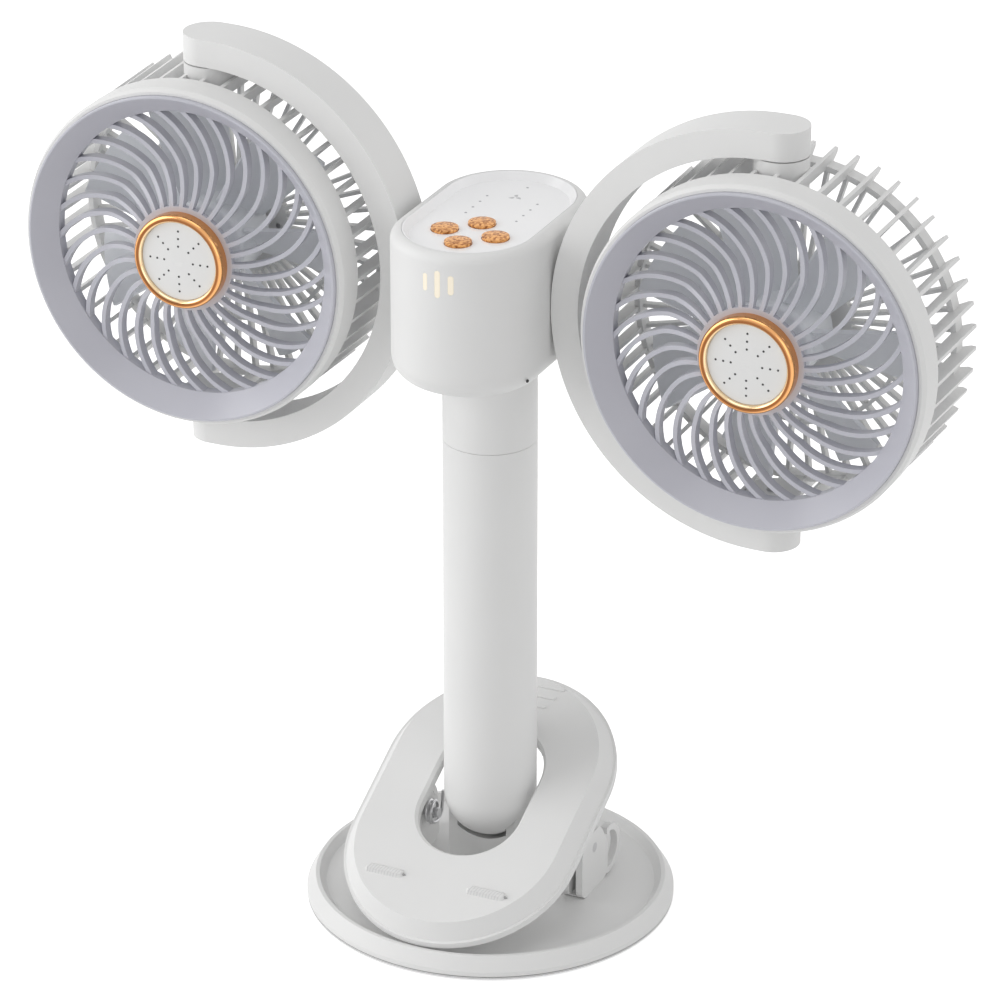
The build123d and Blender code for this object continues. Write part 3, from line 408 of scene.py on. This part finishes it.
def plain_copy(piece: bpy.types.Object) -> bpy.types.Mesh:
    """Turn an object with modifiers into a plain mesh and delete the object.

    Args:
        piece: The object to evaluate.

    Returns:
        The finished mesh.
    """
    bpy.context.view_layer.update()
    graph = bpy.context.evaluated_depsgraph_get()
    mesh = bpy.data.meshes.new_from_object(piece.evaluated_get(graph), depsgraph=graph)
    bpy.data.objects.remove(piece)
    return mesh


def mark_mesh(name: str, outline: list[Span], span: Span, draw_in: float) -> bpy.types.Object:
    """Make one small raised mark from its outline, with a drawn-in top.

    Args:
        name: The mark's name.
        outline: Its corners, anticlockwise from above.
        span: The heights of its foot and its top.
        draw_in: How much smaller its top is, as a share.

    Returns:
        An object to be repeated by a pattern.
    """
    low, high = span
    shape = bmesh.new()
    foot = [shape.verts.new((x, y, low)) for x, y in outline]
    top = [shape.verts.new((x * (1 - draw_in), y * (1 - draw_in), high)) for x, y in outline]
    shape.faces.new(reversed(foot))
    shape.faces.new(top)
    for step, here in enumerate(foot):
        after = (step + 1) % len(foot)
        shape.faces.new((here, foot[after], top[after], top[step]))
    mesh = bpy.data.meshes.new(name)
    shape.to_mesh(mesh)
    shape.free()
    return into_scene(name, mesh)


def disc(radius: float, corners: int = 20) -> list[Span]:
    """Give the outline of a round mark.

    Args:
        radius: Its radius.
        corners: How many corners it has.

    Returns:
        The outline's corners.
    """
    angles = [2 * pi * corner / corners for corner in range(corners)]
    return [(radius * cos(angle), radius * sin(angle)) for angle in angles]


def crowned_row(nodes: bpy.types.Nodes, links: bpy.types.NodeLinks,
                source: bpy.types.Node) -> bpy.types.Node:
    """Set marks along a line, raised to follow a crown.

    Args:
        nodes: The nodes of the tree.
        links: The links of the tree.
        source: The tree's inputs.

    Returns:
        The node that gives the row's marks.
    """
    line, info = nodes.new("GeometryNodeMeshLine"), nodes.new("GeometryNodeObjectInfo")
    links.new(source.outputs["Per Row"], line.inputs["Count"])
    links.new(source.outputs["Start"], line.inputs["Start Location"])
    links.new(source.outputs["Step"], line.inputs["Offset"])
    links.new(source.outputs["Mark"], info.inputs["Object"])
    where, length = nodes.new("GeometryNodeInputPosition"), nodes.new("ShaderNodeVectorMath")
    share, square, drop, rise = (nodes.new("ShaderNodeMath") for _ in range(4))
    length.operation, share.operation = "LENGTH", "DIVIDE"
    square.operation, drop.operation, rise.operation = "MULTIPLY", "SUBTRACT", "MULTIPLY"
    links.new(where.outputs["Position"], length.inputs[0])
    links.new(length.outputs["Value"], share.inputs[0])
    links.new(source.outputs["Crown Radius"], share.inputs[1])
    links.new(share.outputs[0], square.inputs[0])
    links.new(share.outputs[0], square.inputs[1])
    drop.inputs[0].default_value = 1.0
    links.new(square.outputs[0], drop.inputs[1])
    links.new(drop.outputs[0], rise.inputs[0])
    links.new(source.outputs["Crown"], rise.inputs[1])
    lift, shift = nodes.new("ShaderNodeCombineXYZ"), nodes.new("GeometryNodeSetPosition")
    links.new(rise.outputs[0], lift.inputs["Z"])
    links.new(line.outputs["Mesh"], shift.inputs["Geometry"])
    links.new(lift.outputs["Vector"], shift.inputs["Offset"])
    row = nodes.new("GeometryNodeInstanceOnPoints")
    links.new(shift.outputs["Geometry"], row.inputs["Points"])
    links.new(info.outputs["Geometry"], row.inputs["Instance"])
    return row


def turned_rows(nodes: bpy.types.Nodes, links: bpy.types.NodeLinks, source: bpy.types.Node,
                row: bpy.types.Node) -> bpy.types.Node:
    """Repeat a row evenly round the centre.

    Args:
        nodes: The nodes of the tree.
        links: The links of the tree.
        source: The tree's inputs.
        row: The node that gives the row's marks.

    Returns:
        The node that gives all the rows.
    """
    points, rows = nodes.new("GeometryNodePoints"), nodes.new("GeometryNodeInstanceOnPoints")
    index, turn = nodes.new("GeometryNodeInputIndex"), nodes.new("ShaderNodeCombineXYZ")
    part, angle = nodes.new("ShaderNodeMath"), nodes.new("ShaderNodeMath")
    part.operation, angle.operation = "DIVIDE", "MULTIPLY_ADD"
    links.new(source.outputs["Rows"], points.inputs["Count"])
    links.new(index.outputs["Index"], part.inputs[0])
    links.new(source.outputs["Rows"], part.inputs[1])
    links.new(part.outputs[0], angle.inputs[0])
    angle.inputs[1].default_value = 2 * pi
    links.new(source.outputs["First Angle"], angle.inputs[2])
    links.new(angle.outputs[0], turn.inputs["Z"])
    links.new(points.outputs[0], rows.inputs["Points"])
    links.new(row.outputs["Instances"], rows.inputs["Instance"])
    links.new(turn.outputs["Vector"], rows.inputs["Rotation"])
    return rows


def pattern_tree() -> bpy.types.NodeTree:
    """Build, once, the tree that sets marks along a line and turns the line round a centre.

    Returns:
        The geometry node tree.
    """
    found = bpy.data.node_groups.get("rows_of_marks")
    if found:
        return found
    tree = bpy.data.node_groups.new("rows_of_marks", "GeometryNodeTree")
    for name, kind in (("Mark", "NodeSocketObject"), ("Per Row", "NodeSocketInt"),
                       ("Start", "NodeSocketVector"), ("Step", "NodeSocketVector"),
                       ("Rows", "NodeSocketInt"), ("First Angle", "NodeSocketFloat"),
                       ("Crown", "NodeSocketFloat"), ("Crown Radius", "NodeSocketFloat"),
                       ("Place", "NodeSocketVector"), ("Turn", "NodeSocketVector"),
                       ("Material", "NodeSocketMaterial")):
        add_socket(tree, name, kind)
    add_socket(tree, "Geometry", "NodeSocketGeometry", output=True)
    nodes, links = tree.nodes, tree.links
    source, sink = nodes.new("NodeGroupInput"), nodes.new("NodeGroupOutput")
    rows = turned_rows(nodes, links, source, crowned_row(nodes, links, source))
    seat, real, dress = (nodes.new("GeometryNodeTransform"),
                         nodes.new("GeometryNodeRealizeInstances"),
                         nodes.new("GeometryNodeSetMaterial"))
    links.new(rows.outputs["Instances"], seat.inputs["Geometry"])
    links.new(source.outputs["Place"], seat.inputs["Translation"])
    links.new(source.outputs["Turn"], seat.inputs["Rotation"])
    links.new(seat.outputs["Geometry"], real.inputs["Geometry"])
    links.new(real.outputs["Geometry"], dress.inputs["Geometry"])
    links.new(source.outputs["Material"], dress.inputs["Material"])
    links.new(dress.outputs["Geometry"], sink.inputs["Geometry"])
    return tree


@dataclass
class MarkPattern:
    """Marks set along a row, and rows turned round a centre, all as one piece."""

    name: str
    body: str
    slot: str
    finish: Finish
    outline: list[Span]
    span: Span
    place: Place
    turn: Place = (0.0, 0.0, 0.0)
    per_row: int = 1
    start: Place = (0.0, 0.0, 0.0)
    step: Place = (0.0, 0.0, 0.0)
    rows: int = 1
    first_angle: float = 0.0
    crown: float = 0.0
    crown_radius: float = 1.0
    draw_in: float = 0.08

    def build(self) -> bpy.types.Object:
        """Run the pattern and keep its result as a plain piece.

        Returns:
            The finished piece.
        """
        mark = mark_mesh(f"{self.name}_mark", self.outline, self.span, self.draw_in)
        carrier = into_scene("carrier", bpy.data.meshes.new("carrier"))
        pattern = carrier.modifiers.new("rows", "NODES")
        pattern.node_group = pattern_tree()
        values = {"Mark": mark, "Per Row": self.per_row, "Start": self.start, "Step": self.step,
                  "Rows": self.rows, "First Angle": self.first_angle, "Crown": self.crown,
                  "Crown Radius": self.crown_radius, "Place": self.place, "Turn": self.turn,
                  "Material": self.finish.material()}
        for item in pattern.node_group.interface.items_tree:
            if item.in_out == "INPUT":
                pattern[item.identifier] = values[item.name]
        mesh = plain_copy(carrier)
        bpy.data.objects.remove(mark)
        return settle(self.name, mesh, self.body, self.finish)


@dataclass
class FanHead:
    """One round head: its grille, cap dots, yoke and the painted shade in its rear screws'
    recesses.
    """

    side: Side
    centre: Place = HEAD_CENTRE
    cap_front: float = 32.2 * MM
    cap_crown: float = 0.7 * MM
    cap_edge: float = 17.3 * MM
    dot_rows: int = 8
    dot_first: float = 6.8 * MM
    dot_step: float = 3.35 * MM
    dots_per_row: int = 3
    dot_radius: float = 0.52 * MM
    dot_corners: int = 14
    dot_span: Span = (-0.2 * MM, 0.07 * MM)
    screw_circle: float = 19.5 * MM
    screw_face: float = 25.2 * MM
    screw_count: int = 3
    drive_reach: float = 1.35 * MM
    drive_half: float = 0.32 * MM
    drive_span: Span = (-0.1 * MM, 0.04 * MM)
    yoke_edge: float = 1.7 * MM
    grille_edge: float = 0.3 * MM

    @property
    def place(self) -> Place:
        """The head's centre."""
        x, y, z = self.centre
        return (x if self.side is Side.RIGHT else -x, y, z)

    def build(self) -> list[bpy.types.Object]:
        """Build what this head adds to its solids.

        Returns:
            The head's own pieces.
        """
        side, body = self.side.value, f"head_{self.side.value}"
        x, _, z = self.place
        dots = MarkPattern(
            f"cap_dots_{side}", body, "dark_plastic", INK_AND_RECESS_SHADE, disc(self.dot_radius, self.dot_corners),
            self.dot_span, (x, -self.cap_front, z), turn=(pi / 2, 0, 0),
            per_row=self.dots_per_row, start=(self.dot_first, 0, 0), step=(self.dot_step, 0, 0),
            rows=self.dot_rows, first_angle=pi / 2, crown=self.cap_crown,
            crown_radius=self.cap_edge)
        # Painted shade: dark crosses stand in for the shade inside the rear screws' recesses.
        crosses = MarkPattern(
            f"rear_drive_marks_{side}", body, "dark_plastic", INK_AND_RECESS_SHADE,
            cross(self.drive_reach, self.drive_half), self.drive_span, (x, self.screw_face, z),
            turn=(-pi / 2, 0, 0), start=(self.screw_circle, 0, 0), rows=self.screw_count)
        yoke = SoftMoulding(f"yoke_{side}", f"yoke_{side}", "white_shell", SHELL,
                            self.yoke_edge, 4)
        grille = SoftMoulding(f"front_grille_{side}", body, "grille_grey", BEZEL,
                              self.grille_edge, 2)
        return [part.build() for part in (dots, crosses, yoke, grille)]


def cross(reach: float, half: float) -> list[Span]:
    """Give the outline of a cross-shaped screw recess.

    Args:
        reach: From the middle to an arm's end.
        half: Half an arm's width.

    Returns:
        The outline's corners.
    """
    arm = [(reach, -half), (reach, half), (half, half)]
    corners: list[Span] = []
    for quarter in range(4):
        turn = Matrix.Rotation(quarter * pi / 2, 2)
        corners += [tuple(turn @ Vector(corner)) for corner in arm]
    return corners


def petal(reach: float, width: float, steps: int = 12) -> list[Span]:
    """Give the outline of one bent fan blade of the printed symbol.

    Args:
        reach: The blade's length from the middle.
        width: Its greatest width.
        steps: Corners on each side.

    Returns:
        The outline's corners.
    """
    root, bend, bend_turn, fullness = 0.14, 0.35, 0.9, 0.7

    def corner(sign: float, t: float) -> Span:
        """Give the point at a share t of the length, on one side of the blade."""
        along = root * reach + (1 - root) * reach * t
        across = bend * width * sin(pi * t * bend_turn) + sign * 0.5 * width * sin(pi * t**fullness)
        return (along, across)

    low = [corner(-1.0, k / steps) for k in range(steps + 1)]
    high = [corner(1.0, k / steps) for k in range(steps - 1, 0, -1)]
    return low + high


@dataclass
class ControlBox:
    """The control box: its panel's printed marks, patterned buttons and the painted shade of its
    pinhole.
    """

    panel_floor: float = 315.7 * MM
    dot_column: float = 11.5 * MM
    dot_first: float = 1.0 * MM
    dot_step: float = 6.93 * MM
    dot_radius: float = 0.62 * MM
    dots_per_row: int = 4
    symbol_y: float = 25.2 * MM
    symbol_reach: float = 3.3 * MM
    symbol_width: float = 1.7 * MM
    symbol_blades: int = 3
    lone_y: float = 37.1 * MM
    print_span: Span = (-0.1 * MM, 0.05 * MM)
    pinhole: Place = (31.2 * MM, -30.2 * MM, 260.0 * MM)
    pinhole_radius: float = 0.75 * MM
    pinhole_span: Span = (-0.3 * MM, 0.04 * MM)
    pinhole_turn: Place = (radians(90), 0.0, radians(72))
    buttons: tuple[str, ...] = ("button_left", "button_right", "button_back", "button_front")

    def build(self) -> list[bpy.types.Object]:
        """Build the panel's print and the painted shade of the pinhole, and dress the buttons.

        Returns:
            The box's own pieces.
        """
        for name in self.buttons:
            give_finish(frame["nodes"][name], BUTTON)
        floor, dot, span = self.panel_floor, disc(self.dot_radius), self.print_span
        made = [MarkPattern(f"panel_dots_{name}", "box", "dark_plastic", PALE_INK, dot, span,
                            (x, self.dot_first, floor), per_row=self.dots_per_row,
                            step=(0, self.dot_step, 0))
                for name, x in (("left", -self.dot_column), ("right", self.dot_column))]
        made.append(MarkPattern("panel_dot_back", "box", "dark_plastic", PALE_INK, dot, span,
                                (0, self.lone_y, floor)))
        made.append(MarkPattern("panel_fan_symbol", "box", "dark_plastic", FAINT_INK,
                                petal(self.symbol_reach, self.symbol_width), span,
                                (0, self.symbol_y, floor), rows=self.symbol_blades,
                                first_angle=pi / 2))
        # Painted shade: a dark disc stands in for the shade inside the pinhole.
        made.append(MarkPattern("box_pinhole", "box", "dark_plastic", INK_AND_RECESS_SHADE,
                                disc(self.pinhole_radius), self.pinhole_span, self.pinhole,
                                turn=self.pinhole_turn))
        return [piece.build() for piece in made]


@dataclass
class BaseAndClip:
    """The base, column foot and clip plate, with the plate's hatched bars."""

    plate_height: float = 59.67 * MM
    plate_tilt: float = 27.0
    bar_place: float = -62.2 * MM
    bar_inner: float = 14.8 * MM
    bar_length: float = 18.2 * MM
    bar_end: float = 2.2 * MM
    bar_half_width: float = 2.2 * MM
    hatch_count: int = 11
    hatch_lean: float = 0.9 * MM
    hatch_half: float = 0.26 * MM
    hatch_overhang: float = 0.12 * MM
    hatch_span: Span = (-0.2 * MM, 1.75 * MM)
    hatch_draw_in: float = 0.42
    # Size and place of the painted notch shade at each bar's end.
    tip_length: float = 1.5 * MM
    tip_half: float = 0.8 * MM
    tip_inset: float = 2.6 * MM
    tip_span: Span = (-0.3 * MM, 0.9 * MM)
    tip_draw_in: float = 0.3
    screw_circle: float = 48.0 * MM
    screw_face: float = 0.9 * MM
    screw_count: int = 4
    drive_reach: float = 1.5 * MM
    drive_half: float = 0.35 * MM
    drive_span: Span = (-0.1 * MM, 0.04 * MM)
    soft_nodes: tuple[tuple[str, str, float], ...] = (
        ("clip_plate", "clip", 0.6 * MM),
        ("base_tray", "base", 0.5 * MM),
        ("fork_post", "base", 0.7 * MM),
        ("column_tube", "column", 0.5 * MM),
        ("hinge_bracket_left", "base", 0.5 * MM),
        ("hinge_bracket_right", "base", 0.5 * MM),
    )

    def build(self) -> list[bpy.types.Object]:
        """Build the hatch, the painted shade of the bar notches and screw recesses, and the
        softened mouldings.

        Returns:
            The lower half's own pieces.
        """
        made = self.front_bars()
        # Painted shade: dark crosses stand in for the shade inside the base screws' recesses.
        made.append(MarkPattern(
            "base_drive_marks", "base", "dark_plastic", INK_AND_RECESS_SHADE,
            cross(self.drive_reach, self.drive_half), self.drive_span, (0, 0, self.screw_face),
            turn=(pi, 0, 0), start=(self.screw_circle, 0, 0), rows=self.screw_count,
            first_angle=pi / 4))
        for node, body, edge in self.soft_nodes:
            made.append(SoftMoulding(node, body, "white_shell", SHELL, edge))
        return [piece.build() for piece in made]

    def front_bars(self) -> list[MarkPattern]:
        """Lay out the leaning hatch and the painted shade of the notch at the end of each bar at
        the plate's front.

        Returns:
            The patterns, not yet built.
        """
        tilt, lean, thin = radians(self.plate_tilt), self.hatch_lean, self.hatch_half
        step = (self.bar_length - 2 * self.bar_end) / (self.hatch_count - 1)
        half = self.bar_half_width + self.hatch_overhang
        rib = [(-thin - lean, -half), (thin - lean, -half), (thin + lean, half),
               (lean - thin, half)]
        # Outline of the wedge of painted notch shade.
        notch_shade_outline = [(0, -self.tip_half), (self.tip_length, 0), (0, self.tip_half)]
        place = (0.0, self.bar_place * cos(tilt), self.plate_height + self.bar_place * sin(tilt))
        starts = (("left", self.bar_end - self.bar_inner - self.bar_length),
                  ("right", self.bar_end + self.bar_inner))
        bars = []
        for name, first in starts:
            bars.append(MarkPattern(
                f"bar_hatch_{name}", "clip", "white_shell", HATCH, rib, self.hatch_span, place,
                turn=(tilt, 0, 0), per_row=self.hatch_count, start=(first, 0, 0),
                step=(step, 0, 0), draw_in=self.hatch_draw_in))
            # Painted shade: a grey wedge stands in for the shade inside the notch at the bar's end.
            bars.append(MarkPattern(
                f"bar_tip_{name}", "clip", "dark_plastic", NOTCH_SHADE, notch_shade_outline, self.tip_span, place,
                turn=(tilt, 0, 0), start=(first + self.bar_length - self.tip_inset, 0, 0),
                draw_in=self.tip_draw_in))
        return bars


@dataclass
class Studio:
    """Plain pale floor, soft light and the camera."""

    azimuth: float = 25.013
    elevation: float = 24.906
    distance: float = 2.2309
    target: Place = (0.004574, 0.0, 0.188431)
    lens: float = 190.46
    sensor: float = 36.0
    floor_size: float = 14.0
    floor_colour: Colour = (0.9, 0.9, 0.9)
    floor_roughness: float = 0.9
    floor_mirror: float = 0.1
    floor_glow: float = 0.6
    world_strength: float = 0.50
    lamps: tuple[tuple[str, Place, float, float], ...] = (
        ("key", (-1.9, -0.95, 0.95), 1.9, 26.0),
        ("top", (-0.1, -0.3, 2.3), 1.6, 8.5),
        ("fill", (1.7, -1.6, 0.9), 1.4, 6.0),
        ("rim", (1.7, 1.1, 1.0), 1.2, 5.0),
    )

    def build(self) -> None:
        """Set up the floor, the lamps, the world and the camera."""
        self.make_floor()
        self.make_world()
        for name, place, size, power in self.lamps:
            self.make_lamp(name, place, size, power)
        self.make_camera()
        bpy.context.scene.view_settings.view_transform = "Standard"

    def lit_only_for_view(self, nodes: bpy.types.Nodes,
                          links: bpy.types.NodeLinks) -> bpy.types.NodeSocket:
        """Give a value of 1 on camera, glossy and transmission rays.

        Args:
            nodes: The nodes of the tree.
            links: The links of the tree.

        Returns:
            The socket with the value.
        """
        path, first, second = (nodes.new("ShaderNodeLightPath"), nodes.new("ShaderNodeMath"),
                               nodes.new("ShaderNodeMath"))
        first.operation = second.operation = "MAXIMUM"
        links.new(path.outputs["Is Camera Ray"], first.inputs[0])
        links.new(path.outputs["Is Glossy Ray"], first.inputs[1])
        links.new(first.outputs[0], second.inputs[0])
        links.new(path.outputs["Is Transmission Ray"], second.inputs[1])
        return second.outputs[0]

    def make_floor(self) -> None:
        """Lay the floor, which looks white and still takes the fan's shadow."""
        half = self.floor_size / 2
        mesh = bpy.data.meshes.new("floor")
        corners = [(-half, -half, 0), (half, -half, 0), (half, half, 0), (-half, half, 0)]
        mesh.from_pydata(corners, [], [(0, 1, 2, 3)])
        floor = into_scene("floor", mesh)
        paint = bpy.data.materials.new("floor_white")
        paint.use_nodes = True
        nodes, links = paint.node_tree.nodes, paint.node_tree.links
        shader = nodes["Principled BSDF"]
        shader.inputs["Base Color"].default_value = (*self.floor_colour, 1.0)
        shader.inputs["Roughness"].default_value = self.floor_roughness
        shader.inputs["Specular IOR Level"].default_value = self.floor_mirror
        shader.inputs["Emission Color"].default_value = (1.0, 1.0, 1.0, 1.0)
        weight = nodes.new("ShaderNodeMath")
        weight.operation = "MULTIPLY"
        weight.inputs[1].default_value = self.floor_glow
        links.new(self.lit_only_for_view(nodes, links), weight.inputs[0])
        links.new(weight.outputs[0], shader.inputs["Emission Strength"])
        mesh.materials.append(paint)

    def make_world(self) -> None:
        """Give the world a soft white light and a plain white look."""
        world = bpy.data.worlds.new("studio")
        world.use_nodes = True
        nodes, links = world.node_tree.nodes, world.node_tree.links
        sky = nodes["Background"]
        sky.inputs["Color"].default_value = (1.0, 1.0, 1.0, 1.0)
        choose = nodes.new("ShaderNodeMapRange")
        choose.inputs["To Min"].default_value = self.world_strength
        choose.inputs["To Max"].default_value = 1.0
        links.new(self.lit_only_for_view(nodes, links), choose.inputs["Value"])
        links.new(choose.outputs["Result"], sky.inputs["Strength"])
        bpy.context.scene.world = world

    def make_lamp(self, name: str, place: Place, size: float, power: float) -> None:
        """Hang one soft lamp that faces the fan.

        Args:
            name: The lamp's name.
            place: Where it hangs.
            size: The length of its side.
            power: Its power in watts.
        """
        light = bpy.data.lights.new(name, "AREA")
        light.size = size
        light.energy = power
        lamp = into_scene(name, light)
        towards = Vector(self.target) - Vector(place)
        lamp.location = place
        lamp.rotation_euler = towards.to_track_quat("-Z", "Y").to_euler()

    def make_camera(self) -> None:
        """Stand the camera at the photograph's angle."""
        az, el = radians(self.azimuth), radians(self.elevation)
        away = Vector((sin(az) * cos(el), -cos(az) * cos(el), sin(el)))
        lens = bpy.data.cameras.new("camera")
        lens.lens = self.lens
        lens.sensor_width = self.sensor
        camera = into_scene("camera", lens)
        camera.location = Vector(self.target) + away * self.distance
        camera.rotation_euler = (-away).to_track_quat("-Z", "Y").to_euler()
        bpy.context.scene.camera = camera


@dataclass
class DeskFan:
    """The whole fan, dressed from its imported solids."""

    parts: list[FanHead | ControlBox | BaseAndClip] = field(
        default_factory=lambda: [FanHead(Side.LEFT), FanHead(Side.RIGHT), ControlBox(),
                                 BaseAndClip()])

    def dress(self) -> None:
        """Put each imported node's finish on it by its material slot."""
        for entry in frame["record"]["subparts"]:
            give_finish(frame["nodes"][entry["node"]], SLOT_FINISHES[entry["material_slot"]])

    def build(self) -> None:
        """Dress the solids and build every added piece."""
        self.dress()
        for part in self.parts:
            LOG.info("%s made %d pieces", type(part).__name__, len(part.build()))


def main() -> None:
    """Build the studio and the fan."""
    logging.basicConfig(level=logging.INFO)
    Studio().build()
    DeskFan().build()


if __name__ == "__main__":
    main()
